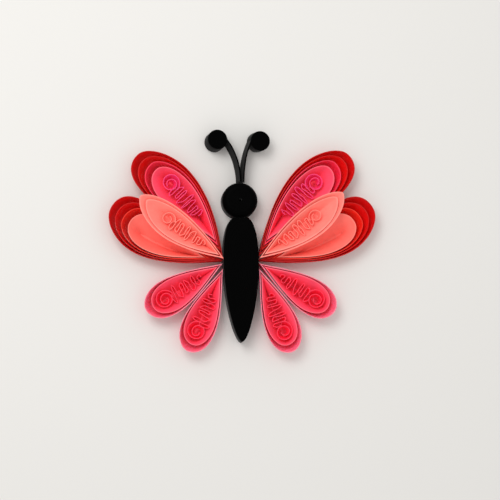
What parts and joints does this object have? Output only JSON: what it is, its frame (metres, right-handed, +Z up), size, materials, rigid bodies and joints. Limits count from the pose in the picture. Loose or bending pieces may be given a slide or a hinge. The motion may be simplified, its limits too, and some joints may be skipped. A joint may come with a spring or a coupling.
{
  "type": "quilled paper butterfly",
  "caption": "Quilled paper butterfly that lies flat: wings of nested paper loops with crimped curls, a pressed coil body, a rolled head and knobbed antennae.",
  "frame": {"origin": "underside of the body, level with the wing tips that are pinched against its flanks", "axes": "+X to the right wing, +Y to the head, +Z up, away from the surface it is glued to"},
  "size_m": [0.1613, 0.1353, 0.015],
  "materials": {
    "black_paper": "matt coloured paper",
    "dark_red_paper": "matt coloured paper",
    "red_paper": "matt coloured paper",
    "scarlet_paper": "matt coloured paper",
    "crimson_paper": "matt coloured paper",
    "pink_red_paper": "matt coloured paper",
    "coral_paper": "matt coloured paper",
    "salmon_paper": "matt coloured paper",
    "magenta_paper": "matt coloured paper",
    "rose_paper": "matt coloured paper"
  },
  "bodies": {
    "root": {"body": "black_paper", "head": "black_paper", "left_antenna": "black_paper", "left_forewing_outer_loop": "dark_red_paper", "left_midwing_outer_loop": "dark_red_paper", "left_forewing_second_loop": "red_paper", "left_midwing_second_loop": "red_paper", "left_forewing_third_loop": "crimson_paper", "left_midwing_third_loop": "scarlet_paper", "left_forewing_inner_loop": "pink_red_paper", "left_midwing_inner_loop": "coral_paper", "left_centre_leaf_outer_loop": "salmon_paper", "left_upper_hindwing_outer_loop": "rose_paper", "left_lower_hindwing_outer_loop": "rose_paper", "left_centre_leaf_inner_loop": "salmon_paper", "left_upper_hindwing_inner_loop": "pink_red_paper", "left_lower_hindwing_inner_loop": "pink_red_paper", "left_forewing_curl": "magenta_paper", "left_centre_leaf_curl": "coral_paper", "left_upper_hindwing_curl": "crimson_paper", "left_lower_hindwing_curl": "crimson_paper", "right_antenna": "black_paper", "right_forewing_outer_loop": "dark_red_paper", "right_midwing_outer_loop": "dark_red_paper", "right_forewing_second_loop": "red_paper", "right_midwing_second_loop": "red_paper", "right_forewing_third_loop": "crimson_paper", "right_midwing_third_loop": "scarlet_paper", "right_forewing_inner_loop": "pink_red_paper", "right_midwing_inner_loop": "coral_paper", "right_centre_leaf_outer_loop": "salmon_paper", "right_upper_hindwing_outer_loop": "rose_paper", "right_lower_hindwing_outer_loop": "rose_paper", "right_centre_leaf_inner_loop": "salmon_paper", "right_upper_hindwing_inner_loop": "pink_red_paper", "right_lower_hindwing_inner_loop": "pink_red_paper", "right_forewing_curl": "magenta_paper", "right_centre_leaf_curl": "coral_paper", "right_upper_hindwing_curl": "crimson_paper", "right_lower_hindwing_curl": "crimson_paper"}
  },
  "joints": []
}
